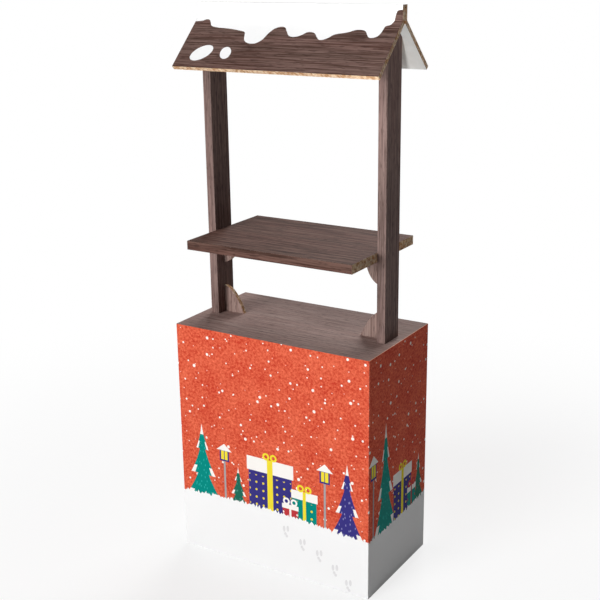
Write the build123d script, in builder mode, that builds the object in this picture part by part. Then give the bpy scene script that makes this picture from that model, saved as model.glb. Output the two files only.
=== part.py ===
from build123d import *
from math import cos, radians, sin, tan
import os

# Market stall display stand of rigid fluted board: a counter box on the floor,
# two posts, a shelf between them and a gable roof with a standing ridge fin.
# Every piece is cut from one board grade, printed on its outer face.
# A fold away from the print is V-grooved and closes as a mitre. A fold towards
# the print is slit from the inside and opens as a wedge on the outer liner.
# Millimetres, +X right, +Y back, +Z up. The origin is on the floor under the
# middle of the counter.

os.makedirs("parts", exist_ok=True)

# Board
board = 16.0
fold_radius = 1.5
hinge_liner = 1.5
seam_gap = 0.4
fit = 0.3

# Counter box
counter_width = 800.0
counter_depth = 450.0
counter_height = 900.0
glue_flap_width = 60.0
glue_flap_taper = 20.0

# Partition boards inside the counter
cross_board_spacing = 256.0
lap_height = 442.0

# Posts
post_depth = 100.0
post_inset = 34.0

# Shelf
shelf_depth = 450.0
shelf_underside = 1188.0
shelf_tab_width = 60.0

# Brackets
lower_bracket_reach = 85.0
lower_bracket_rise = 100.0
lower_bracket_crown = 38.0
lower_bracket_toe_run = 17.0
lower_bracket_toe_rise = 40.0
upper_bracket_reach = 66.0
upper_bracket_drop = 96.0
bracket_tab_length = 50.0
bracket_tab_start = 20.0

# Roof
roof_pitch = 44.0
slope_width = 226.0
shoulder_height = 1978.0
fin_height = 50.0

# Places that follow from the sizes above
leaf_pair = 2 * board + seam_gap
counter_half_width = counter_width / 2
counter_half_depth = counter_depth / 2
counter_underside = counter_height - board
inner_half_width = counter_half_width - board
inner_half_depth = counter_half_depth - board
post_outer_x = counter_half_width - post_inset
post_inner_x = post_outer_x - leaf_pair
post_x = (post_outer_x + post_inner_x) / 2
shelf_top = shelf_underside + leaf_pair
shelf_length = 2 * (post_inner_x - fit)
tab_depth = board - fit
slot_width = board + 2 * fit
roof_length = counter_width
fin_half = leaf_pair / 2
slope_rise = tan(radians(roof_pitch))
slope_normal = (sin(radians(roof_pitch)), cos(radians(roof_pitch)))
eave_y = fin_half + slope_width * cos(radians(roof_pitch))
eave_height = shoulder_height - slope_width * sin(radians(roof_pitch))
slope_drop = board / cos(radians(roof_pitch))
seat_drop = fit / cos(radians(roof_pitch))
hands = (("left", -1), ("right", 1))


def folded_section(*corners):
    """Draw the mitred section of a sheet whose printed face runs through the corners, board on its left."""
    face = [Vector(*corner) for corner in corners]
    normals = [(end - start).normalized().rotate(Axis.Z, 90) for start, end in zip(face, face[1:])]
    inner = [
        corner + (before + after) * (board / (1 + before.dot(after)))
        for corner, before, after in zip(face, normals[:1] + normals, normals + normals[-1:])
    ]
    with BuildLine() as outline:
        Polyline(*face, *reversed(inner), close=True)
    make_face(outline.edges())


def underside_height(y):
    """Height of the slopes' inner face at a distance y from the ridge line."""
    return shoulder_height + (fin_half - y) * slope_rise - slope_drop


# Counter box: one sheet folded into four walls with a glue flap, and a top
# hinged on the front wall. The other three edges of the top are bevelled.
flap_x = -inner_half_width + seam_gap
flap_end_y = counter_half_depth - glue_flap_width
post_slot = (leaf_pair + 2 * fit, post_depth + 2 * fit)
bracket_slot_x = post_inner_x - bracket_tab_start - bracket_tab_length / 2

with BuildPart() as counter_box:
    with BuildSketch() as walls:
        folded_section(
            (-counter_half_width, counter_half_depth),
            (-counter_half_width, -counter_half_depth),
            (counter_half_width, -counter_half_depth),
            (counter_half_width, counter_half_depth),
            (flap_x, counter_half_depth),
            (flap_x, flap_end_y),
        )
        wall_folds = walls.vertices().filter_by(
            lambda v: abs(abs(v.X) - counter_half_width) < fit
            and (v.Y < 0 or v.X > 0)
        )
        fillet(wall_folds, radius=fold_radius)
    extrude(amount=counter_height)
    # Mitred upper edges of the walls
    with BuildSketch(Plane.XY.offset(counter_height)):
        Rectangle(counter_width, counter_depth)
    extrude(amount=-board, taper=45, mode=Mode.SUBTRACT)
    # Tapered upper and lower ends of the glue flap, clear of the top
    with BuildSketch(Plane.YZ.offset(flap_x)):
        with BuildLine():
            Polyline(
                (flap_end_y, 0),
                (flap_end_y, glue_flap_taper),
                (inner_half_depth, 0),
                close=True,
            )
        make_face()
        with BuildLine():
            Polyline(
                (flap_end_y, counter_height),
                (flap_end_y, counter_underside - glue_flap_taper),
                (inner_half_depth, counter_underside - seam_gap),
                (inner_half_depth, counter_height),
                close=True,
            )
        make_face()
    extrude(amount=board, mode=Mode.SUBTRACT)
    # Top, with a hairline at the three mitred edges that only meet
    with BuildSketch(Plane.XY.offset(counter_height)):
        with Locations((0, -seam_gap / 2)):
            Rectangle(counter_width - 2 * seam_gap, counter_depth - seam_gap)
    extrude(amount=-board, taper=45)
    # Slots for the posts and for the feet of the lower brackets
    with BuildSketch(Plane.XY.offset(counter_height)):
        with Locations((-post_x, 0), (post_x, 0)):
            Rectangle(*post_slot)
        with Locations((-bracket_slot_x, 0), (bracket_slot_x, 0)):
            Rectangle(bracket_tab_length + 2 * fit, slot_width)
    extrude(amount=-board, mode=Mode.SUBTRACT)
counter_box.part.label = "counter_box"
export_step(counter_box.part, "parts/counter_box.step")

# Long partition: a board on edge from side wall to side wall. It is lapped
# with the cross partitions and straddled by the feet of the posts.
partition_height = counter_underside - fit

with BuildPart() as long_partition:
    with BuildSketch(Plane.XZ.offset(-board / 2)):
        with Locations((0, partition_height / 2)):
            Rectangle(2 * (inner_half_width - fit), partition_height)
        with Locations((-post_x, lap_height), (post_x, lap_height)):
            Rectangle(
                leaf_pair + 2 * fit,
                partition_height - lap_height,
                align=(Align.CENTER, Align.MIN),
                mode=Mode.SUBTRACT,
            )
        with Locations(
            (-cross_board_spacing / 2, lap_height),
            (cross_board_spacing / 2, lap_height),
        ):
            Rectangle(
                slot_width,
                partition_height - lap_height,
                align=(Align.CENTER, Align.MIN),
                mode=Mode.SUBTRACT,
            )
    extrude(amount=board)
long_partition.part.label = "long_partition"
export_step(long_partition.part, "parts/long_partition.step")

# Cross partitions: boards from the front wall to the back wall, slotted from
# below to drop over the long one.
for hand, side in hands:
    with BuildPart() as cross_partition:
        with BuildSketch(Plane.YZ.offset(side * cross_board_spacing / 2 - board / 2)):
            with Locations((0, partition_height / 2)):
                Rectangle(2 * (inner_half_depth - fit), partition_height)
            Rectangle(
                slot_width,
                lap_height + fit,
                align=(Align.CENTER, Align.MIN),
                mode=Mode.SUBTRACT,
            )
        extrude(amount=board)
    cross_partition.part.label = f"{hand}_cross_partition"
    export_step(cross_partition.part, f"parts/{hand}_cross_partition.step")

# Posts: one sheet each, folded twice at the front so that two leaves lie face
# to face. The top is cut to the gable, the foot is slotted for the long
# partition, and the inner leaf has mortises for the shelf and the brackets.
flat_half = fin_half - board * slope_normal[0]
gable_top = counter_height + shoulder_height

for hand, side in hands:
    with BuildPart() as post:
        with BuildSketch() as post_section:
            folded_section(
                (side * post_x - leaf_pair / 2, post_depth / 2),
                (side * post_x - leaf_pair / 2, -post_depth / 2),
                (side * post_x + leaf_pair / 2, -post_depth / 2),
                (side * post_x + leaf_pair / 2, post_depth / 2),
            )
            front_folds = post_section.vertices().group_by(Axis.Y)[0]
            fillet(front_folds, radius=fold_radius)
        extrude(amount=shoulder_height)
        with BuildSketch(Plane.YZ.offset(side * post_x)):
            with BuildLine():
                Polyline(
                    (-post_depth, underside_height(post_depth) - seat_drop),
                    (-flat_half, underside_height(flat_half) - seat_drop),
                    (flat_half, underside_height(flat_half) - seat_drop),
                    (post_depth, underside_height(post_depth) - seat_drop),
                    (post_depth, gable_top),
                    (-post_depth, gable_top),
                    close=True,
                )
            make_face()
        extrude(amount=leaf_pair, both=True, mode=Mode.SUBTRACT)
        # Foot slot
        with BuildSketch(Plane.YZ.offset(side * post_x)):
            Rectangle(slot_width, lap_height + fit, align=(Align.CENTER, Align.MIN))
        extrude(amount=leaf_pair, both=True, mode=Mode.SUBTRACT)
        # Mortises in the inner leaf
        with BuildSketch(Plane.YZ.offset(side * post_inner_x)):
            with Locations((0, (shelf_underside + shelf_top) / 2)):
                Rectangle(shelf_tab_width + 2 * fit, leaf_pair + 2 * fit)
            with Locations(
                (0, counter_height + bracket_tab_start + bracket_tab_length / 2),
                (0, shelf_underside - bracket_tab_start - bracket_tab_length / 2),
            ):
                Rectangle(slot_width, bracket_tab_length + 2 * fit)
        extrude(amount=side * board, mode=Mode.SUBTRACT)
    post.part.label = f"{hand}_post"
    export_step(post.part, f"parts/{hand}_post.step")

# Shelf: one sheet folded twice at the front edge into two leaves, with a tab
# of both leaves at each end.
with BuildPart() as shelf:
    with BuildSketch(Plane.YZ) as shelf_section:
        folded_section(
            (shelf_depth / 2, shelf_top),
            (-shelf_depth / 2, shelf_top),
            (-shelf_depth / 2, shelf_underside),
            (shelf_depth / 2, shelf_underside),
        )
        edge_folds = shelf_section.vertices().group_by(Axis.X)[0]
        fillet(edge_folds, radius=fold_radius)
    extrude(amount=shelf_length / 2 + tab_depth, both=True)
    with BuildSketch(Plane.XY.offset(shelf_underside)):
        for end in (-1, 1):
            for edge in (-1, 1):
                tab_shoulder = (
                    end * (shelf_length + tab_depth) / 2,
                    edge * (shelf_depth + shelf_tab_width) / 4,
                )
                with Locations(tab_shoulder):
                    Rectangle(tab_depth, (shelf_depth - shelf_tab_width) / 2)
    extrude(amount=leaf_pair, mode=Mode.SUBTRACT)
shelf.part.label = "shelf"
export_step(shelf.part, "parts/shelf.step")

# Brackets: rounded boards in the corners of the posts, each with a tab through
# the inner leaf of its post. The lower ones stand on the counter with a foot
# through its top, and slope from a short crown to a toe. The upper ones are
# quarter ovals that carry the shelf.
for hand, side in hands:
    with BuildPart() as lower_bracket:
        with BuildSketch(Plane.XZ.offset(-board / 2)):
            corner_x = side * (post_inner_x - fit)
            with BuildLine():
                Line(
                    (corner_x, counter_height + lower_bracket_rise),
                    (corner_x, counter_height),
                )
                Line(
                    (corner_x, counter_height),
                    (corner_x - side * lower_bracket_reach, counter_height),
                )
                toe_x = corner_x - side * (lower_bracket_reach - lower_bracket_toe_run)
                Bezier(
                    (corner_x, counter_height + lower_bracket_rise),
                    (corner_x - side * lower_bracket_crown, counter_height + lower_bracket_rise),
                    (toe_x, counter_height + lower_bracket_toe_rise),
                    (corner_x - side * lower_bracket_reach, counter_height),
                )
            make_face()
            tab_z = counter_height + bracket_tab_start + bracket_tab_length / 2
            with Locations((corner_x + side * tab_depth / 2, tab_z)):
                Rectangle(tab_depth, bracket_tab_length)
            with Locations((side * bracket_slot_x, counter_height - tab_depth / 2)):
                Rectangle(bracket_tab_length, tab_depth)
        extrude(amount=board)
    lower_bracket.part.label = f"{hand}_lower_bracket"
    export_step(lower_bracket.part, f"parts/{hand}_lower_bracket.step")

    with BuildPart() as upper_bracket:
        with BuildSketch(Plane.XZ.offset(-board / 2)):
            corner_x = side * (post_inner_x - fit)
            with BuildLine():
                Line(
                    (corner_x, shelf_underside - upper_bracket_drop),
                    (corner_x, shelf_underside),
                )
                Line(
                    (corner_x, shelf_underside),
                    (corner_x - side * upper_bracket_reach, shelf_underside),
                )
                EllipticalCenterArc(
                    (corner_x, shelf_underside),
                    upper_bracket_reach,
                    upper_bracket_drop,
                    start_angle=-90,
                    arc_size=-side * 90,
                )
            make_face()
            tab_z = shelf_underside - bracket_tab_start - bracket_tab_length / 2
            with Locations((corner_x + side * tab_depth / 2, tab_z)):
                Rectangle(tab_depth, bracket_tab_length)
        extrude(amount=board)
    upper_bracket.part.label = f"{hand}_upper_bracket"
    export_step(upper_bracket.part, f"parts/{hand}_upper_bracket.step")

# Roof: one sheet folded into two slopes and a ridge fin of two leaves. The
# fin's foot is slit from the inside, so each fold there opens as a wedge.
with BuildPart() as roof:
    with BuildSketch(Plane.YZ.offset(-roof_length / 2)) as roof_section:
        folded_section(
            (eave_y, eave_height),
            (fin_half, shoulder_height),
            (fin_half, shoulder_height + fin_height),
            (-fin_half, shoulder_height + fin_height),
            (-fin_half, shoulder_height),
            (-eave_y, eave_height),
        )
        ridge_folds = roof_section.vertices().group_by(Axis.Y)[-1]
        fillet(ridge_folds, radius=fold_radius)
        for face in (-1, 1):
            slope_y, slope_z = slope_normal
            with BuildLine():
                Polyline(
                    (face * (fin_half - hinge_liner), shoulder_height),
                    (0, shoulder_height),
                    (0, shoulder_height - 2 * board),
                    (
                        face * (fin_half - board * slope_y),
                        shoulder_height - board * slope_z,
                    ),
                    (
                        face * (fin_half - hinge_liner * slope_y),
                        shoulder_height - hinge_liner * slope_z,
                    ),
                    close=True,
                )
            make_face(mode=Mode.SUBTRACT)
    extrude(amount=roof_length)
roof.part.label = "roof"
export_step(roof.part, "parts/roof.step")
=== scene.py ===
from bisect import bisect
from math import cos, pi, radians, sin

import bmesh
import bpy
from mathutils import Matrix, Vector


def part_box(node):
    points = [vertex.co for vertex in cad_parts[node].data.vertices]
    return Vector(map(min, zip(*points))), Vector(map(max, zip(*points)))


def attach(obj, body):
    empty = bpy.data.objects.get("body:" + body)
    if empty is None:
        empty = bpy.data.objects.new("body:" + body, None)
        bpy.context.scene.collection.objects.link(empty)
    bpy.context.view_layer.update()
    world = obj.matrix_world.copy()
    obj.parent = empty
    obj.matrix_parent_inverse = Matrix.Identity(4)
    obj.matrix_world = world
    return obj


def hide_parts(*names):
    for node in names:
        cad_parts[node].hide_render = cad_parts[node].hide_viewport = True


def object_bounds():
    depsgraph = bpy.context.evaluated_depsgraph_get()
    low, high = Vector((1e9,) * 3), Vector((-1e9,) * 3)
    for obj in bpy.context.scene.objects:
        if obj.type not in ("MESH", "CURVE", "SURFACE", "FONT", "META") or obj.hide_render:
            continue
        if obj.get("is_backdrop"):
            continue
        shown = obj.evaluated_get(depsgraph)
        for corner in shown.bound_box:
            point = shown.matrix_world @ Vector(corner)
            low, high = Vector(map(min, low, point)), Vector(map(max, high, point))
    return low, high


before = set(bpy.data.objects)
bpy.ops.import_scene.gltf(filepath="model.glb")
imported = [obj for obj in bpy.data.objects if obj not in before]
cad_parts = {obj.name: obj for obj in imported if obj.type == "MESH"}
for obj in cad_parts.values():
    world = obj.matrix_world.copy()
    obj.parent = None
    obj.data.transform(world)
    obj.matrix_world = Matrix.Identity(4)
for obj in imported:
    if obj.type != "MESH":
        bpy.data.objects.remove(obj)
cad_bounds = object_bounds()

# Partition boards. Three boards on edge inside the counter are slotted into each other and
# carry its top. Like every piece they are rigid fluted board: three layers of brown fluting
# and two flat sheets glued between white liners. A knife cut leaves the flutes open.
edge_low, edge_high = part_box("left_cross_partition")
board = edge_high.x - edge_low.x
liner = 0.0007
middle_sheet = 0.0005
flute_height = (board - 2 * liner - 2 * middle_sheet) / 3
# Real flutes are 8.5 mm apart in paper 0.5 mm thick, and are drawn coarser, so that they show
flute_pitch = 0.012
flute_paper = 0.0008
flute_sides = 6
cut_depth = 0.0009
# The flutes stop short of the liner that crosses the end of a cut
end_room = liner + flute_paper
# What lies nearer than this touches
touch = 0.0001
# A normal points along an axis where it has more than the first there, and is square to it
# where it has less than the second
facing = 0.9
square = 0.1
# Fibres are about 0.3 mm apart and are drawn 1.2 mm apart, so that they show
fibre_spacing = 0.0012
ridge_height = 0.00004
paper_gloss = 0.05


def linear(hex_colour):
    """An sRGB hex colour as the linear colour that a shader takes."""
    parts = [int(hex_colour[i : i + 2], 16) / 255 for i in (1, 3, 5)]
    return [p / 12.92 if p <= 0.04045 else ((p + 0.055) / 1.055) ** 2.4 for p in parts] + [1.0]


def add(tree, kind, inputs, **settings):
    """Add a shader node, make its settings, and give each input a value or a node's output."""
    node = tree.nodes.new("ShaderNode" + kind)
    for name, setting in settings.items():
        setattr(node, name, setting)
    for key, source in inputs.items():
        if isinstance(source, bpy.types.Node):
            source = next(socket for socket in source.outputs if socket.enabled)
        if isinstance(source, bpy.types.NodeSocket):
            tree.links.new(source, node.inputs[key])
        else:
            node.inputs[key].default_value = source
    return node


def start_paper(name, roughness, tooth, washboard=(0, 0, 0)):
    """Start a matt paper with its tooth, and the faint ridges of the flutes across a direction."""
    material = bpy.data.materials.new(name)
    material.use_nodes = True
    tree = material.node_tree
    shader = tree.nodes["Principled BSDF"]
    shader.inputs["Roughness"].default_value = roughness
    shader.inputs["Specular IOR Level"].default_value = paper_gloss
    place = add(tree, "TexCoord", {}).outputs["Object"]
    fibres = add(tree, "TexNoise", {"Vector": place, "Scale": 1 / fibre_spacing, "Detail": 3.0})
    turn = [2 * pi / flute_pitch * part for part in washboard]
    waves = add(tree, "VectorMath", {0: place, 1: turn}, operation="DOT_PRODUCT").outputs["Value"]
    ridges = add(tree, "Math", {0: waves}, operation="SINE")
    ridges = add(tree, "Math", {0: ridges, 1: ridge_height}, operation="MULTIPLY")
    height = add(tree, "Math", {0: fibres, 1: tooth, 2: ridges}, operation="MULTIPLY_ADD")
    relief = add(tree, "Bump", {"Height": height, "Distance": 1.0, "Strength": 1.0})
    tree.links.new(relief.outputs["Normal"], shader.inputs["Normal"])
    return material, tree, place


def finish_paper(tree, colour):
    """Give a paper material its colour."""
    output = next(socket for socket in colour.outputs if socket.enabled)
    tree.links.new(output, tree.nodes["Principled BSDF"].inputs["Base Color"])


def kraft_paper(name, roughness, detail, dark, light):
    """Start a kraft paper and its brown, mottled in clouds 12 mm wide."""
    material, tree, place = start_paper(name, roughness, tooth=0.00005)
    cloud = add(tree, "TexNoise", {"Vector": place, "Scale": 1 / 0.012, "Detail": detail})
    cloud = add(tree, "MapRange", {0: cloud, 1: 0.4, 2: 0.6})
    brown = add(tree, "Mix", {0: cloud, 6: linear(dark), 7: linear(light)}, data_type="RGBA")
    return material, tree, place, brown


# Unbleached kraft paper, corrugated and glued: warm brown and rough. Darker flecks of recycled
# pulp, 1 mm wide and 4 mm apart, make it look coarse
kraft_fluting, tree, place, brown = kraft_paper(
    "kraft_fluting", roughness=0.85, detail=4.0, dark="#ddb289", light="#fdead0"
)
fleck_share = 0.12
fleck_cells = add(tree, "TexVoronoi", {"Vector": place, "Scale": 1 / 0.004})
fleck = add(tree, "Math", {0: fleck_cells, 1: fleck_share}, operation="LESS_THAN")
brown = add(tree, "Mix", {0: fleck, 6: brown, 7: linear("#9c744e")}, data_type="RGBA")
finish_paper(tree, brown)

# Deep in the flutes the same paper is seen in its own shade, which makes a cut edge look open
flute_shade, tree, place, brown = kraft_paper(
    "kraft_in_the_flutes_shade", roughness=0.9, detail=2.0, dark="#b07d53", light="#efcfa8"
)
finish_paper(tree, brown)

# Clay-coated white liner: nearly white, matt, with the faint clouds of its pulp
white_liner, tree, place = start_paper("white_clay_liner", roughness=0.7, tooth=0.00003)
pulp = add(tree, "TexNoise", {"Vector": place, "Scale": 1 / 0.03, "Detail": 6.0})
coating = add(
    tree, "Mix", {0: pulp, 6: linear("#dfdfdc"), 7: linear("#f4f4f2")}, data_type="RGBA"
)
finish_paper(tree, coating)

# Places in a piece's list of materials: its print, the papers of its board, and on some one more
PRINT, LINER, CORE, SHADE, OTHER = range(5)


def merged_copy(node):
    """The shape of a CAD node with its loose triangles merged into whole flat faces."""
    shape = bmesh.new()
    shape.from_mesh(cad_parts[node].data)
    shape.faces.layers.float.new("fold")
    bmesh.ops.remove_doubles(shape, verts=shape.verts, dist=touch / 10)
    bmesh.ops.dissolve_limit(shape, angle_limit=radians(1), verts=shape.verts, edges=shape.edges)
    shape.normal_update()
    return shape


def pick(shape, test):
    """The faces of a shape whose normal and centre pass a test."""
    return [face for face in shape.faces if test(face.normal, face.calc_center_median())]


def colour_faces(faces, material):
    """Give faces a material by its place in the piece's list."""
    for face in faces:
        face.material_index = material


def straight_run(start, end, across, inward):
    """A straight cut edge: its length, and a point by share of it, offset across and depth."""
    along = (end - start).normalized()
    first, last = start + along * end_room, end - along * end_room
    return (last - first).length, lambda share, offset, depth: (
        first.lerp(last, share) + across * offset + inward * depth
    )


def run_of(face):
    """The run along a four-sided cut face, from one short side to the other."""
    short_sides = sorted(face.edges, key=lambda side: side.calc_length())[:2]
    start, end = ((side.verts[0].co + side.verts[1].co) / 2 for side in short_sides)
    across = (short_sides[0].verts[1].co - short_sides[0].verts[0].co).normalized()
    return straight_run(start, end, across, -face.normal)


def add_layer(shape, segments, place_at, offset):
    """Add one paper layer of the core: a ribbon along a cut edge, as deep as its slot."""
    verts = bmesh.ops.create_grid(shape, x_segments=segments, y_segments=1, size=0.5)["verts"]
    for vert in verts:
        share = vert.co.x + 0.5
        vert.co = place_at(share, offset(share), (vert.co.y + 0.5) * cut_depth)
    ribbon = list(dict.fromkeys(face for vert in verts for face in vert.link_faces))
    for face in ribbon:
        face.normal_update()
    before = set(shape.faces)
    bmesh.ops.solidify(shape, geom=ribbon, thickness=flute_paper)
    shell = ribbon + [face for face in shape.faces if face not in before]
    bmesh.ops.recalc_face_normals(shape, faces=shell)
    colour_faces(shell, CORE)


def open_cut(shape, faces, runs, keep=None, bottom=SHADE):
    """Set the core back between the liners of raw-cut faces, and stand its layers in the slot."""
    # The liners are white only on top of brown paper, so their cut edges are brown too
    rim = bmesh.ops.inset_region(shape, faces=faces, thickness=liner, use_even_offset=True)
    colour_faces(rim["faces"], CORE)
    # Where another slot is near, keep moves the corners of this one clear of it
    if keep:
        for vert in {vert for face in faces for vert in face.verts}:
            vert.co = keep(vert.co)
    slot = bmesh.ops.inset_region(shape, faces=faces, thickness=0, depth=-cut_depth)
    colour_faces(slot["faces"], CORE)
    colour_faces(faces, bottom)
    # Three layers of fluting swing between the liners and the two flat sheets
    swing = (flute_height - flute_paper) / 2
    step = flute_height + middle_sheet
    for length, place_at in runs:
        waves = round(length / flute_pitch)
        for layer in (-1, 0, 1):
            add_layer(
                shape,
                waves * flute_sides,
                place_at,
                lambda share: layer * step + swing * sin(2 * pi * waves * share + layer),
            )
        for layer in (-0.5, 0.5):
            add_layer(shape, waves, place_at, lambda share: layer * step)


def finish_piece(shape, name, node, slot, outside, *others):
    """Make a shape a piece of the stand, in its print and its board's papers, for its CAD node."""
    data = bpy.data.meshes.new(name)
    shape.to_mesh(data)
    shape.free()
    for material in (outside, white_liner, kraft_fluting, flute_shade, *others):
        data.materials.append(material)
    piece = bpy.data.objects.new(name, data)
    bpy.context.scene.collection.objects.link(piece)
    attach(piece, "root")
    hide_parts(node)


for node in ("long_partition", "left_cross_partition", "right_cross_partition"):
    shape = merged_copy(node)
    low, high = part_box(node)
    thin = 0 if high.x - low.x < high.y - low.y else 1
    colour_faces(shape.faces, CORE)
    colour_faces(pick(shape, lambda normal, centre: abs(normal[thin]) > facing), LINER)
    feet = pick(shape, lambda normal, centre: normal.z < -facing and centre.z < touch)
    open_cut(shape, feet, [run_of(face) for face in feet])
    finish_piece(shape, node + "_board", node, "plain_board", white_liner)

# Counter box. One printed sheet is V-grooved and folded into four walls and a top, and glued
# with a flap. The print runs round the corners and repeats once: a mottled red sky with snow,
# wrapped boxes, firs and lanterns on white snow. The top is printed with a pale wood grain.
counter_low, counter_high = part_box("counter_box")
counter_width = counter_high.x - counter_low.x
counter_depth = counter_high.y - counter_low.y
sheet_repeat = counter_width + counter_depth
# The narrow faces of a rounded fold have their centres within this of the sheet's outside
fold_reach = 0.0012
# The printed snow's upper edge, and how deep the motifs stand in it
ground_height = 0.234
sunk = 0.02
foot_height = ground_height - sunk

# Offset print on clay-coated liner: flat, matt ink, through which the upright flutes just show.
# The red is laid down in soft clouds 90 mm wide, with blotches 10 mm wide over them
offset_print, tree, place = start_paper(
    "offset_print_on_clay_liner", roughness=0.6, tooth=0.00003, washboard=(1, 1, 0)
)
sheet = add(tree, "UVMap", {}, uv_map="sheet")
clouds = add(tree, "TexNoise", {"Vector": sheet, "Scale": 1 / 0.09, "Detail": 4.0})
blotches = add(
    tree, "TexNoise", {"Vector": sheet, "Scale": 1 / 0.01, "Detail": 4.0, "Roughness": 0.75}
)
blotch_weight = 3.2
darkest_tone, palest_tone = 1.6, 2.75
sky_tone = add(
    tree, "Math", {0: blotches, 1: blotch_weight, 2: clouds}, operation="MULTIPLY_ADD"
)
sky_share = add(tree, "MapRange", {0: sky_tone, 1: darkest_tone, 2: palest_tone})
paint = add(
    tree, "Mix", {0: sky_share, 6: linear("#c23422"), 7: linear("#f57d5a")}, data_type="RGBA"
)
white, grey, bark = "#fbf7f2", "#a5a3a5", "#6f5a4c"
teal, navy, yellow, red, green = "#008a80", "#3a3580", "#f4e03a", "#bf3a3f", "#1f6a58"
pale_teal, pale_navy, pale_green = "#2bb3a8", "#8f8cc0", "#4b9484"


# This and the motifs below print in the material that is being made, whose nodes are in tree
def print_over(paint, colour, *limits):
    """Print a flat colour over what is printed so far, where each value is between its limits."""
    mask = 1.0
    for value, low, high in limits:
        inside = add(
            tree, "Math", {0: value, 1: (low + high) / 2, 2: (high - low) / 2}, operation="COMPARE"
        )
        mask = add(tree, "Math", {0: mask, 1: inside}, operation="MULTIPLY")
    return add(tree, "Mix", {0: mask, 6: paint, 7: linear(colour)}, data_type="RGBA")


# Falling snow: round dots 2 to 12 mm wide, one in each cell of the given width
for cell, least_radius, most_radius in ((0.074, 0.0024, 0.0062), (0.058, 0.0008, 0.0036)):
    cells = add(tree, "TexVoronoi", {"Vector": sheet, "Scale": 1 / cell}, voronoi_dimensions="2D")
    draw = add(tree, "SeparateColor", {0: cells.outputs["Color"]})
    radius = add(tree, "MapRange", {0: draw, 3: least_radius / cell, 4: most_radius / cell})
    depth = add(tree, "Math", {0: radius, 1: cells.outputs["Distance"]}, operation="SUBTRACT")
    paint = print_over(paint, "#fff6ee", (depth, 0.0, 1.0))
# Strokes of paler ink, 4 by 8 mm, one in each cell of 13 by 30 mm, for the needles of the firs
stroke_share = 0.14
strokes = add(tree, "VectorMath", {0: sheet, 1: (1 / 0.013, 1 / 0.03, 0)}, operation="MULTIPLY")
strokes = add(tree, "TexVoronoi", {"Vector": strokes, "Scale": 1.0}, voronoi_dimensions="2D")


def motif_place(along, foot, width, height):
    """A motif's own measures: from its middle line, 1 at its sides, and up it, 1 at its top."""
    spot = add(
        tree,
        "VectorMath",
        {0: sheet, 1: (2 / width, 1 / height, 0), 2: (-2 * along / width, -foot / height, 0)},
        operation="MULTIPLY_ADD",
    )
    parts = add(tree, "SeparateXYZ", {0: spot})
    side = add(tree, "Math", {0: parts.outputs[0]}, operation="ABSOLUTE")
    return side, parts.outputs[1]


def print_fir(paint, along, width, height, needles, pale):
    """A fir on a short trunk, with snow on its top and on the tips of its branches."""
    tiers = 3.0
    tier_taper = 0.55
    side, up = motif_place(along, foot_height, width, height)
    paint = print_over(paint, bark, (side, 0.0, 0.1), (up, -0.1, 0.1))
    tier = add(tree, "Math", {0: up, 1: tiers, 2: tiers}, operation="MULTIPLY_ADD")
    tier = add(tree, "Math", {0: tier}, operation="FRACT")
    lean = add(tree, "Math", {0: tier, 1: -tier_taper, 2: 1.0}, operation="MULTIPLY_ADD")
    taper = add(tree, "Math", {0: up, 1: -1.0, 2: 1.0}, operation="MULTIPLY_ADD")
    reach = add(tree, "Math", {0: lean, 1: taper}, operation="MULTIPLY")
    within = add(tree, "Math", {0: reach, 1: side}, operation="SUBTRACT")
    crown = (within, 0.0, 1.0), (up, 0.0, 1.0)
    paint = print_over(paint, needles, *crown)
    paint = print_over(paint, pale, *crown, (strokes.outputs["Distance"], 0.0, stroke_share))
    share = add(tree, "Math", {0: side, 1: reach}, operation="DIVIDE")
    # Snow lies on the outer third of each tier's lower part, and on the top
    paint = print_over(paint, white, *crown, (share, 0.68, 1.0), (tier, 0.0, 0.3))
    return print_over(paint, white, *crown, (up, 0.86, 1.0))


def print_gift(paint, along, width, height, wrap, ribbon):
    """A wrapped box with spotted paper, a snowy lid, and a ribbon tied in a bow."""
    side, up = motif_place(along, foot_height, width, height)
    paint = print_over(paint, wrap, (side, 0.0, 0.93), (up, 0.0, 0.9))
    # Spots 9 mm wide
    spot_pitch = 0.03
    grid = add(
        tree,
        "VectorMath",
        {0: sheet, 1: (1 / spot_pitch, 1 / spot_pitch, 1), 2: (-along / spot_pitch + 0.5, 0, 0)},
        operation="MULTIPLY_ADD",
    )
    grid = add(tree, "VectorMath", {0: grid}, operation="FRACTION")
    grid = add(tree, "VectorMath", {0: grid, 1: (0.5, 0.5, 0)}, operation="DISTANCE")
    from_spot = grid.outputs["Value"]
    paint = print_over(paint, ribbon, (side, 0.0, 0.9), (up, 0.02, 0.7), (from_spot, 0.0, 0.15))
    paint = print_over(paint, ribbon, (side, 0.0, 0.12), (up, 0.0, 0.9))
    paint = print_over(paint, white, (side, 0.0, 1.0), (up, 0.76, 1.0))
    paint = print_over(paint, ribbon, (side, 0.0, 0.12), (up, 0.76, 1.0))
    # The bow's two loops stand side by side on the lid
    loop_out, loop_up = 0.016, 0.011
    loop_hole, loop_radius = 0.007, 0.0145
    bow = add(tree, "CombineXYZ", {0: side, 1: up})
    bow = add(
        tree,
        "VectorMath",
        {0: bow, 1: (width / 2, height, 0), 2: (-loop_out, -height - loop_up, 0)},
        operation="MULTIPLY_ADD",
    )
    from_loop = add(tree, "VectorMath", {0: bow}, operation="LENGTH").outputs["Value"]
    return print_over(paint, ribbon, (from_loop, loop_hole, loop_radius))


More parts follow.
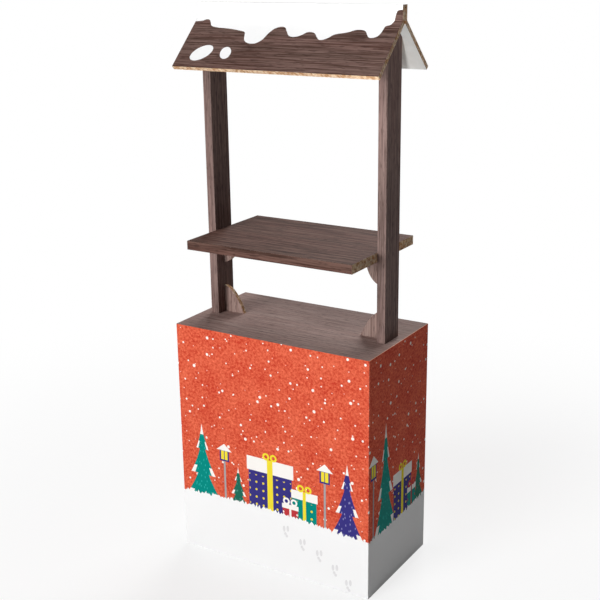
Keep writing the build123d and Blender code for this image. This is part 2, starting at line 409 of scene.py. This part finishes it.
def print_lantern(paint, along, width, height):
    """A lantern with a lit pane and a snowy cap on a grey post."""
    side, up = motif_place(along, foot_height, width, height)
    paint = print_over(paint, grey, (side, 0.0, 0.16), (up, 0.0, 0.8))
    paint = print_over(paint, grey, (side, 0.0, 0.45), (up, 0.0, 0.05))
    paint = print_over(paint, navy, (side, 0.0, 0.8), (up, 0.72, 0.9))
    paint = print_over(paint, yellow, (side, 0.0, 0.56), (up, 0.745, 0.885))
    paint = print_over(paint, navy, (side, 0.0, 0.06), (up, 0.745, 0.885))
    cap_slope = 12.0
    cap = add(tree, "Math", {0: up, 1: -cap_slope, 2: cap_slope}, operation="MULTIPLY_ADD")
    cap = add(tree, "Math", {0: cap, 1: side}, operation="SUBTRACT")
    return print_over(paint, white, (cap, 0.0, 2.0), (up, 0.89, 1.0))


for along, width, height, needles, pale in (
    (0.095, 0.17, 0.31, teal, pale_teal),
    (0.255, 0.10, 0.17, green, pale_green),
    (0.715, 0.14, 0.29, navy, pale_navy),
    (0.925, 0.17, 0.42, teal, pale_teal),
    (1.190, 0.10, 0.20, green, pale_green),
):
    paint = print_fir(paint, along, width, height, needles, pale)
for along, height in ((0.195, 0.25), (0.625, 0.27), (0.835, 0.33)):
    paint = print_lantern(paint, along, 0.052, height)
for along, width, height, wrap, ribbon in (
    (0.395, 0.20, 0.23, navy, yellow),
    (0.540, 0.11, 0.14, teal, yellow),
    (0.480, 0.07, 0.075, red, white),
    (1.060, 0.15, 0.19, navy, yellow),
    (1.135, 0.07, 0.09, teal, red),
):
    paint = print_gift(paint, along, width, height, wrap, ribbon)

# Snow on the ground: one slow swell to each repeat of the sheet, with torn tufts 12 mm wide
swell_height = 0.013
swell_start = -0.1
tuft_height = 0.055
parts = add(tree, "SeparateXYZ", {0: sheet})
sheet_along, sheet_up = parts.outputs[0], parts.outputs[1]
swell = add(
    tree,
    "Math",
    {0: sheet_along, 1: 2 * pi / sheet_repeat, 2: swell_start},
    operation="MULTIPLY_ADD",
)
swell = add(tree, "Math", {0: swell}, operation="SINE")
edge = add(
    tree, "Math", {0: swell, 1: swell_height, 2: ground_height}, operation="MULTIPLY_ADD"
)
tuft_place = add(tree, "CombineXYZ", {0: sheet_along})
tufts = add(tree, "TexNoise", {"Vector": tuft_place, "Scale": 1 / 0.012, "Detail": 3.0})
edge = add(tree, "Math", {0: tufts, 1: tuft_height, 2: edge}, operation="MULTIPLY_ADD")
under_edge = add(tree, "Math", {0: edge, 1: sheet_up}, operation="SUBTRACT")
paint = print_over(paint, "#fafafa", (under_edge, tuft_height / 2, 1.0))
# Small tracks of a hare on the snow: two long pads side by side and two round ones below them.
# A pad has its shift along and up from the track's place, and its width as a share of its height
pads = (
    (-0.008, 0.0, 0.45),
    (0.008, 0.004, 0.45),
    (-0.003, -0.019, 0.9),
    (0.003, -0.027, 0.9),
)
pad_half_width = 0.0055
for along, up in ((0.46, 0.185), (0.53, 0.15), (0.60, 0.125), (0.665, 0.085), (0.72, 0.04)):
    for shift, rise, slim in pads:
        pad = add(
            tree,
            "VectorMath",
            {0: sheet, 1: (1, slim, 0), 2: (-along - shift, -(up + rise) * slim, 0)},
            operation="MULTIPLY_ADD",
        )
        from_pad = add(tree, "VectorMath", {0: pad}, operation="LENGTH").outputs["Value"]
        paint = print_over(paint, "#e6e5e6", (from_pad, 0.0, pad_half_width))


def crack_ink(tree, paint, place, most, paper):
    """Crack the ink here and there along the folds, where the paper shows, in flakes 4 mm wide."""
    cracks = add(tree, "TexNoise", {"Vector": place, "Scale": 1 / 0.004, "Detail": 4.0})
    fold_line = add(tree, "Attribute", {}, attribute_name="fold").outputs["Fac"]
    cracked = add(tree, "MapRange", {0: cracks, 1: 0.5, 2: 0.65, 4: most})
    cracked = add(tree, "Math", {0: cracked, 1: fold_line}, operation="MULTIPLY")
    return add(tree, "Mix", {0: cracked, 6: paint, 7: linear(paper)}, data_type="RGBA")


finish_paper(tree, crack_ink(tree, paint, place, 0.45, "#efe0d0"))

# Wood grain in offset print: matt brown inks that look like planks, but lie flat. The layers
# are slow bands, long streaks, fine lines and short pores, each with its width, length and
# detail. Lines and pores under 1 mm wide are drawn 4 to 5 mm wide, so that they show
grain_layers = (
    (0.05, 0.9, 2.0),
    (0.01, 0.35, 3.0),
    (0.0045, 0.2, 2.0),
    (0.005, 0.035, 1.0),
)
streak_weight = 0.5
line_weight = 1.6
darkest_figure, palest_figure = 0.85, 1.25
blush_most = 0.06
pore_most = 0.45


def wood_print(name, grain, washboard, dark, light, coarseness=1.0):
    """A wood grain printed along one axis: matt brown ink, with a reddish blush and dark pores."""
    material, tree, place = start_paper(name, roughness=0.6, tooth=0.00003, washboard=washboard)
    layers = []
    for width, length, detail in grain_layers:
        scale = [1 / (width * coarseness)] * 3
        scale[grain] = 1 / length
        stretched = add(tree, "VectorMath", {0: place, 1: scale}, operation="MULTIPLY")
        noise = {"Vector": stretched, "Scale": 1.0, "Detail": detail, "Roughness": 0.65}
        layers.append(add(tree, "TexNoise", noise))
    bands, streaks, lines, pores = layers
    figure = add(tree, "Math", {0: streaks, 1: streak_weight}, operation="MULTIPLY")
    figure = add(tree, "Math", {0: lines, 1: line_weight, 2: figure}, operation="MULTIPLY_ADD")
    figure = add(tree, "MapRange", {0: figure, 1: darkest_figure, 2: palest_figure})
    wood = add(tree, "Mix", {0: figure, 6: linear(dark), 7: linear(light)}, data_type="RGBA")
    # The wood blushes where its bands run high, and its pores are the peaks of their own layer
    blush = add(tree, "MapRange", {0: bands, 1: 0.42, 2: 0.58, 4: blush_most})
    wood = add(tree, "Mix", {0: blush, 6: wood, 7: linear("#8f4a44")}, data_type="RGBA")
    pore = add(tree, "MapRange", {0: pores, 1: 0.57, 2: 0.68, 4: pore_most})
    wood = add(tree, "Mix", {0: pore, 6: wood, 7: linear("#2f211d")}, data_type="RGBA")
    return material, tree, crack_ink(tree, wood, place, 0.35, "#b09c8c")


counter_wood, tree, wood = wood_print(
    "pale_wood_grain_print", grain=0, washboard=(0, 1, 0), dark="#806963", light="#a38c85"
)
# A pale line is painted along the top's right edge only, as a painted highlight on that edge
painted_highlight_width = 0.0025
place = add(tree, "TexCoord", {}).outputs["Object"]
across = add(tree, "SeparateXYZ", {0: place}).outputs[0]
wood = print_over(wood, "#e6ad92", (across, counter_high.x - painted_highlight_width, counter_high.x + touch))
finish_paper(tree, wood)


def mark_folds(shape, faces):
    """Mark the narrow faces of a fold, where the ink cracks."""
    fold = shape.faces.layers.float["fold"]
    for face in faces:
        face[fold] = 1.0


def sheet_place(normal, point):
    """Where a point of the counter's walls lies along a repeat of the sheet."""
    if abs(normal.y) > abs(normal.x):
        return point.x - counter_low.x if normal.y < 0 else counter_high.x - point.x
    if normal.x > 0:
        return counter_width + point.y - counter_low.y
    return counter_width + counter_high.y - point.y


def on_counter_wall(centre):
    """Whether a face's centre lies on the printed outside of a wall or a fold."""
    return min(counter_high.x - abs(centre.x), counter_high.y - abs(centre.y)) < fold_reach


def in_top_opening(normal, centre):
    """Whether a face is a cut side of one of the top's openings."""
    return (
        abs(normal.z) < square
        and centre.z > counter_high.z - board + touch
        and abs(centre.x) < counter_high.x - board
        and abs(centre.y) < counter_high.y - board
    )


shape = merged_copy("counter_box")
walls = pick(shape, lambda normal, centre: abs(normal.z) < square and on_counter_wall(centre))
top = pick(
    shape, lambda normal, centre: normal.z > facing and centre.z > counter_high.z - touch
)
bevels = pick(shape, lambda normal, centre: square < abs(normal.z) < facing)
colour_faces(shape.faces, LINER)
colour_faces(walls, PRINT)
colour_faces(top, OTHER)
colour_faces(pick(shape, in_top_opening), CORE)
colour_faces(bevels, CORE)
folds = pick(
    shape, lambda normal, centre: abs(normal.z) < square < min(abs(normal.x), abs(normal.y))
)
mark_folds(shape, folds)
uv = shape.loops.layers.uv.new("sheet")
for face in shape.faces:
    for loop in face.loops:
        point = loop.vert.co
        loop[uv].uv = (sheet_place(face.normal, point), point.z)
feet = pick(shape, lambda normal, centre: normal.z < -facing and centre.z < touch)
# The middle line of the walls' feet, from the rear left corner round to it again
wall_x, wall_y = counter_high.x - board / 2, counter_high.y - board / 2
corners = [
    Vector((-wall_x, wall_y, 0)),
    Vector((-wall_x, -wall_y, 0)),
    Vector((wall_x, -wall_y, 0)),
    Vector((wall_x, wall_y, 0)),
    Vector((-wall_x + board, wall_y, 0)),
]
upward = Vector((0, 0, 1))
wall_runs = [
    straight_run(start, end, (end - start).normalized().cross(upward), upward)
    for start, end in zip(corners, corners[1:])
]
open_cut(shape, feet, wall_runs)
finish_piece(
    shape, "counter_box_sheet", "counter_box", "printed_counter_board", offset_print, counter_wood
)

# Posts. Each is one sheet folded twice at the front, so that two leaves lie face to face with
# their raw edges at the back. The outside is printed with a wood grain that runs up the post.
post_wood, tree, wood = wood_print(
    "weathered_wood_grain_print", grain=2, washboard=(1, 1, 0), dark="#6a5752", light="#917a74"
)
finish_paper(tree, wood)
for hand in ("left", "right"):
    shape = merged_copy(hand + "_post")
    low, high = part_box(hand + "_post")
    colour_faces(shape.faces, CORE)
    colour_faces(pick(shape, lambda normal, centre: abs(normal.x) > facing), LINER)
    outside = pick(
        shape,
        lambda normal, centre: abs(normal.z) < square
        and min(centre.x - low.x, high.x - centre.x, centre.y - low.y) < fold_reach,
    )
    colour_faces(outside, PRINT)
    folds = [face for face in outside if min(abs(face.normal.x), abs(face.normal.y)) > square]
    mark_folds(shape, folds)
    backs = pick(shape, lambda normal, centre: normal.y > facing and centre.y > high.y - touch)
    open_cut(shape, backs, [run_of(face) for face in backs])
    finish_piece(shape, hand + "_post_sheet", hand + "_post", "wood_print_post_board", post_wood)

# Brackets. Rounded corner pieces cut from board printed on both faces with an upright grain,
# paler than the posts'. Their tabs go into the posts, and the lower ones have a foot in the
# counter's top.
bracket_wood, tree, wood = wood_print(
    "pale_upright_grain_print", grain=2, washboard=(1, 0, 0), dark="#806962", light="#a58e86"
)
finish_paper(tree, wood)


def curved_run(faces):
    """The run down cut faces that follow one another round a curve."""
    # Each side across the board gives a stop: its middle, and the way out from it
    stops = {}
    for face in faces:
        for side in face.edges:
            if abs(side.verts[0].co.y - side.verts[1].co.y) > board / 2:
                middle = (side.verts[0].co + side.verts[1].co) / 2
                stops.setdefault(side.index, [middle, Vector()])[1] += face.normal
    middles, outs = zip(*sorted(stops.values(), key=lambda stop: -stop[0].z))
    ways = [0.0]
    for before, after in zip(middles, middles[1:]):
        ways.append(ways[-1] + (after - before).length)
    length = ways[-1] - 2 * end_room

    def place_at(share, offset, depth):
        way = end_room + share * length
        leg = bisect(ways, way) - 1
        part = (way - ways[leg]) / (ways[leg + 1] - ways[leg])
        out = outs[leg].lerp(outs[leg + 1], part).normalized()
        return middles[leg].lerp(middles[leg + 1], part) + Vector((0, offset, 0)) - out * depth

    return length, place_at


# Only the faces of a bracket's curve slope, and have more than this both along and up
slant = 0.01
for corner in ("left_lower", "right_lower", "left_upper", "right_upper"):
    node = corner + "_bracket"
    shape = merged_copy(node)
    colour_faces(shape.faces, CORE)
    colour_faces(pick(shape, lambda normal, centre: abs(normal.y) > facing), PRINT)
    curve = pick(shape, lambda normal, centre: min(abs(normal.x), abs(normal.z)) > slant)
    shape.edges.index_update()
    open_cut(shape, curve, [curved_run(curve)])
    finish_piece(shape, node + "_board", node, "wood_print_post_board", bracket_wood)

# Shelf. One sheet folded twice at the front into two leaves, with a tab at each end in the
# posts. It is printed with a darker and coarser grain that runs along it, and its ends and
# back are raw.
shelf_wood, tree, wood = wood_print(
    "dark_wood_grain_print",
    grain=0,
    washboard=(0, 1, 0),
    dark="#432e27",
    light="#72564d",
    coarseness=1.3,
)
finish_paper(tree, wood)
shape = merged_copy("shelf")
low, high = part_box("shelf")
# The shelf's ends keep this clear of the posts
fit = 0.0003
shelf_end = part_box("right_post")[0].x - fit
tab_half_width = 0.03
# Where two cut edges meet, the slot of one stops this short of the other's
corner_room = 0.0055
colour_faces(shape.faces, CORE)
colour_faces(pick(shape, lambda normal, centre: abs(normal.z) > facing), LINER)
outside = pick(
    shape,
    lambda normal, centre: abs(normal.x) < square
    and normal.y < facing
    and min(centre.z - low.z, high.z - centre.z, centre.y - low.y) < fold_reach,
)
colour_faces(outside, PRINT)
folds = [face for face in outside if min(abs(face.normal.y), abs(face.normal.z)) > square]
mark_folds(shape, folds)
ends = pick(
    shape,
    lambda normal, centre: abs(normal.x) > facing
    and abs(abs(centre.x) - shelf_end) < 3 * touch
    and abs(centre.y) > tab_half_width,
)
end_runs = [
    straight_run(
        Vector((end * shelf_end, start_y, height)),
        Vector((end * shelf_end, stop_y, height)),
        upward,
        Vector((-end, 0, 0)),
    )
    for end in (-1, 1)
    for height in (low.z + board / 2, high.z - board / 2)
    for start_y, stop_y in (
        (low.y + liner, -tab_half_width - liner),
        (tab_half_width + liner, high.y - corner_room),
    )
]
backs = pick(shape, lambda normal, centre: normal.y > facing and centre.y > high.y - touch)
open_cut(
    shape,
    ends,
    end_runs,
    keep=lambda point: Vector((point.x, min(point.y, high.y - corner_room), point.z)),
)
open_cut(shape, backs, [run_of(face) for face in backs])
finish_piece(shape, "shelf_sheet", "shelf", "dark_wood_print_board", shelf_wood)

# Roof. One sheet folded into two slopes and a standing ridge fin of two leaves. It is printed
# with a dark grain like the shelf's under a cap of snow, its inner face is the white liner, and
# its eaves and ends are raw.
roof_low, roof_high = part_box("roof")
roof_length = roof_high.x - roof_low.x
pitch = radians(44)
slope_width = 0.226
fin_height = 0.05
seam_gap = 0.0004
fin_half = board + seam_gap / 2
fold_radius = 0.0015
shoulder = roof_high.z - fin_height
down_slope = Vector((0, cos(pitch), -sin(pitch)))
# A normal with less than this upwards looks down
overhang = -0.3

roof_wood, tree, wood = wood_print(
    "dark_wood_grain_and_snow_print",
    grain=0,
    washboard=(1, 0, 0),
    dark="#49362f",
    light="#7b635c",
)
fold_print = add(tree, "UVMap", {}, uv_map="sheet")
parts = add(tree, "SeparateXYZ", {0: fold_print})
# The snow's lower edge, as its distance up the sheet from the eave at places along the roof
snow_line = (
    (-0.400, 0.204), (-0.372, 0.207), (-0.352, 0.214), (-0.336, 0.204), (-0.320, 0.184),
    (-0.290, 0.178), (-0.248, 0.175), (-0.200, 0.168), (-0.174, 0.162), (-0.163, 0.135),
    (-0.148, 0.118), (-0.121, 0.112), (-0.096, 0.122), (-0.072, 0.165), (-0.053, 0.184),
    (-0.031, 0.189), (-0.008, 0.170), (0.011, 0.150), (0.027, 0.147), (0.054, 0.155),
    (0.078, 0.170), (0.096, 0.168), (0.118, 0.148), (0.134, 0.138), (0.154, 0.144),
    (0.180, 0.163), (0.222, 0.173), (0.256, 0.185), (0.279, 0.183), (0.297, 0.165),
    (0.312, 0.153), (0.330, 0.157), (0.343, 0.175), (0.348, 0.203), (0.362, 0.208),
    (0.370, 0.222), (0.378, 0.250), (0.386, 0.259), (0.400, 0.260),
)
# The curve that draws it runs from 0 to 1 both ways: along the roof, and up to this height
curve_height = 0.3
along_share = add(
    tree, "Math", {0: parts.outputs[0], 1: 1 / roof_length, 2: 0.5}, operation="MULTIPLY_ADD"
)
snow_curve = add(tree, "FloatCurve", {1: along_share})
curve = snow_curve.mapping.curves[0]
first, *middle, last = ((x / roof_length + 0.5, y / curve_height) for x, y in snow_line)
curve.points[0].location = first
curve.points[1].location = last
for x, y in middle:
    curve.points.new(x, y)
snow_curve.mapping.update()
snow_height = add(tree, "Math", {0: snow_curve, 1: curve_height}, operation="MULTIPLY")
capped = add(tree, "Math", {0: parts.outputs[1], 1: snow_height}, operation="GREATER_THAN")
# Two loose patches of snow low on the slope
for x, y, half_length, half_width, turn in (
    (-0.306, 0.064, 0.045, 0.029, radians(34)),
    (-0.208, 0.068, 0.027, 0.021, radians(115)),
):
    patch = add(
        tree,
        "Mapping",
        {0: fold_print, 1: (x, y, 0), 2: (0, 0, turn), 3: (half_length, half_width, 1)},
        vector_type="TEXTURE",
    )
    spread = add(tree, "VectorMath", {0: patch}, operation="LENGTH")
    in_patch = add(tree, "Math", {0: spread, 1: 1.0}, operation="LESS_THAN")
    capped = add(tree, "Math", {0: capped, 1: in_patch}, operation="MAXIMUM")
roof_print = add(tree, "Mix", {0: capped, 6: wood, 7: linear("#fafafa")}, data_type="RGBA")
finish_paper(tree, roof_print)

# The roof's ends get a darker copy of the flutes' paper, painted in deeper shade still than the
# other cut edges
painted_shade_in_open_flutes, tree, place, brown = kraft_paper(
    "kraft_painted_deeper_shade_in_open_flutes", roughness=0.9, detail=2.0, dark="#553423", light="#8c5d3f"
)
finish_paper(tree, brown)


def distance_down(point):
    """How far down the nearer slope a point of the roof lies from the fin's foot."""
    return Vector((0, abs(point.y) - fin_half, point.z - shoulder)).dot(down_slope)


def roof_sheet_place(normal, point):
    """Where a point of the roof lies on its sheet: along it, and up from the nearer eave."""
    along = point.x if point.y < 0 else -point.x
    if abs(normal.y) > facing:
        return along, slope_width + point.z - shoulder
    if normal.z > facing:
        return along, slope_width + fin_height + fin_half - abs(point.y)
    return along, slope_width - distance_down(point)


def in_roof_seam(normal, centre):
    """Whether a face is a cut side of the wedge that opens under the fin's foot."""
    return (
        abs(normal.x) < facing
        and abs(centre.y) < fin_half - touch
        and centre.z < shoulder + touch
    )


def clear_of_eave(point):
    """Keep the slots of the roof's ends clear of the slots of its eaves."""
    over = max(0, distance_down(point) - (slope_width - corner_room))
    hand = -1 if point.y < 0 else 1
    return point - Vector((0, hand * down_slope.y, down_slope.z)) * over


shape = merged_copy("roof")
inside = pick(
    shape,
    lambda normal, centre: normal.z < overhang
    or abs(centre.y) < fin_half / 2 and normal.z < facing,
)
colour_faces(shape.faces, PRINT)
colour_faces(inside, LINER)
colour_faces(pick(shape, in_roof_seam), CORE)
folds = pick(
    shape,
    lambda normal, centre: centre.z > roof_high.z - fold_radius - touch
    and square < abs(normal.y) < facing,
)
mark_folds(shape, folds)
uv = shape.loops.layers.uv.new("sheet")
for face in shape.faces:
    for loop in face.loops:
        loop[uv].uv = roof_sheet_place(face.normal, loop.vert.co)
# The eaves look down and outwards, and the inner faces down and inwards
eaves = pick(shape, lambda normal, centre: normal.z < overhang and normal.y * centre.y > 0)
ends = pick(shape, lambda normal, centre: abs(normal.x) > facing)
end_runs = []
for end in (-1, 1):
    for hand in (-1, 1):
        down = Vector((0, hand * down_slope.y, down_slope.z))
        inner = Vector((0, down.z * hand, -hand * down.y))
        inward = Vector((-end, 0, 0))
        slope_top = Vector((end * roof_high.x, hand * fin_half, shoulder)) + inner * board / 2
        slope_foot = slope_top + down * (slope_width - corner_room)
        fin_foot = Vector((end * roof_high.x, hand * (fin_half - board / 2), shoulder))
        fin_top = fin_foot + Vector((0, 0, fin_height - liner))
        end_runs.append(straight_run(slope_foot, slope_top, inner, inward))
        end_runs.append(straight_run(fin_foot, fin_top, Vector((0, 1, 0)), inward))
# The slots of the roof's ends are floored with the deeper painted shade
open_cut(shape, ends, end_runs, keep=clear_of_eave, bottom=OTHER)
open_cut(shape, eaves, [run_of(face) for face in eaves])
finish_piece(shape, "roof_sheet", "roof", "dark_wood_print_board", roof_wood, painted_shade_in_open_flutes)

# Studio. A plain pale floor that fades into a white backdrop, a soft key light from the upper
# left front, a low fill from the front that reaches under the shelf and the eave, a soft light
# from behind, and a little all round.
floor_radius = 14.0
fade_start = 0.8
fade_end = 3.0
least_whiteness = 0.75
room_light = 0.06
floor_finish = bpy.data.materials.new("pale_studio_floor")
floor_finish.use_nodes = True
tree = floor_finish.node_tree
tree.nodes.remove(tree.nodes["Principled BSDF"])
# What is seen, also in gloss or through glass, is the pale floor, and what bounces is darker
rays = add(tree, "LightPath", {})
reflected, refracted = rays.outputs["Is Glossy Ray"], rays.outputs["Is Transmission Ray"]
seen = add(tree, "Math", {0: reflected, 1: refracted}, operation="MAXIMUM")
seen = add(tree, "Math", {0: rays.outputs["Is Camera Ray"], 1: seen}, operation="MAXIMUM")
floor_place = add(tree, "TexCoord", {}).outputs["Object"]
away = add(tree, "VectorMath", {0: floor_place}, operation="LENGTH")
whiteness = add(
    tree,
    "MapRange",
    {0: away, 1: fade_start, 2: fade_end, 3: least_whiteness, 4: 1.0},
    interpolation_type="SMOOTHSTEP",
)
lit = add(tree, "BsdfDiffuse", {"Color": linear("#f6f6f6")})
glow = add(tree, "Emission", {"Color": linear("#ffffff"), "Strength": 1.0})
shown = add(tree, "MixShader", {0: whiteness, 1: lit, 2: glow})
bounce = add(tree, "BsdfDiffuse", {"Color": linear("#acacac")})
surface = add(tree, "MixShader", {0: seen, 1: bounce, 2: shown})
tree.links.new(surface.outputs[0], tree.nodes["Material Output"].inputs["Surface"])
ground = bmesh.new()
bmesh.ops.create_circle(ground, cap_ends=True, segments=64, radius=floor_radius)
floor_mesh = bpy.data.meshes.new("floor")
ground.to_mesh(floor_mesh)
ground.free()
floor_mesh.materials.append(floor_finish)
floor = bpy.data.objects.new("floor", floor_mesh)
bpy.context.scene.collection.objects.link(floor)
floor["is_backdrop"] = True

world = bpy.data.worlds.new("studio")
bpy.context.scene.world = world
world.use_nodes = True
tree = world.node_tree
rays = add(tree, "LightPath", {})
room = add(tree, "Background", {"Color": linear("#ffffff"), "Strength": room_light})
backdrop = add(tree, "Background", {"Color": linear("#ffffff"), "Strength": 1.0})
surround = add(tree, "MixShader", {0: rays.outputs["Is Camera Ray"], 1: room, 2: backdrop})
tree.links.new(surround.outputs[0], tree.nodes["World Output"].inputs["Surface"])

# Each lamp shines along its direction, and its spread in degrees softens its shadows
for name, direction, strength, spread in (
    ("key_light", (0.22, 0.70, -0.68), 1.1, 26),
    ("front_fill", (0.30, 0.95, -0.09), 2.42, 26),
    ("rear_light", (0.10, -0.85, -0.52), 2.8, 40),
):
    lamp = bpy.data.lights.new(name, "SUN")
    lamp.energy = strength
    lamp.angle = radians(spread)
    light = bpy.data.objects.new(name, lamp)
    light.rotation_euler = Vector(direction).to_track_quat("-Z", "Y").to_euler()
    bpy.context.scene.collection.objects.link(light)

# A small lamp low in front shines up under the roof
uplight_place = (1.02, -2.32, 0.25)
uplight_direction = Vector((-0.63, 2.44, 1.63))
lamp = bpy.data.lights.new("roof_uplight", "SPOT")
lamp.energy = 160
lamp.spot_size = radians(14)
lamp.spot_blend = 1.0
lamp.shadow_soft_size = 0.2
light = bpy.data.objects.new("roof_uplight", lamp)
light.location = uplight_place
light.rotation_euler = uplight_direction.to_track_quat("-Z", "Y").to_euler()
light.visible_camera = False
bpy.context.scene.collection.objects.link(light)

# Camera. It stands where the photograph was taken from, which was worked out from the straight
# edges of the stand, and its lens frames the stand as the photograph's 600 by 600 pixels do.
camera_place = (2.03584, -3.29744, 2.20384)
view_azimuth = radians(31.8656)
view_elevation = radians(17.7585)
view_roll = radians(-0.8259)
focal_pixels = 1123.149
frame_pixels = 600
optical_centre = (298.180, 307.167)
sensor = 36.0
forward = Vector(
    (
        -sin(view_azimuth) * cos(view_elevation),
        cos(view_azimuth) * cos(view_elevation),
        -sin(view_elevation),
    )
)
level = Vector((cos(view_azimuth), sin(view_azimuth), 0))
upright = level.cross(forward)
right = cos(view_roll) * level + sin(view_roll) * upright
up = cos(view_roll) * upright - sin(view_roll) * level
lens = bpy.data.cameras.new("camera")
lens.sensor_width = sensor
lens.lens = focal_pixels / frame_pixels * sensor
lens.shift_x = 0.5 - optical_centre[0] / frame_pixels
lens.shift_y = optical_centre[1] / frame_pixels - 0.5
camera = bpy.data.objects.new("camera", lens)
turned = Matrix((right, up, -forward)).transposed().to_4x4()
camera.matrix_world = Matrix.Translation(camera_place) @ turned
bpy.context.scene.collection.objects.link(camera)
bpy.context.scene.camera = camera
bpy.context.scene.view_settings.view_transform = "Standard"

bpy.context.view_layer.update()
for low, high in (cad_bounds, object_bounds()):
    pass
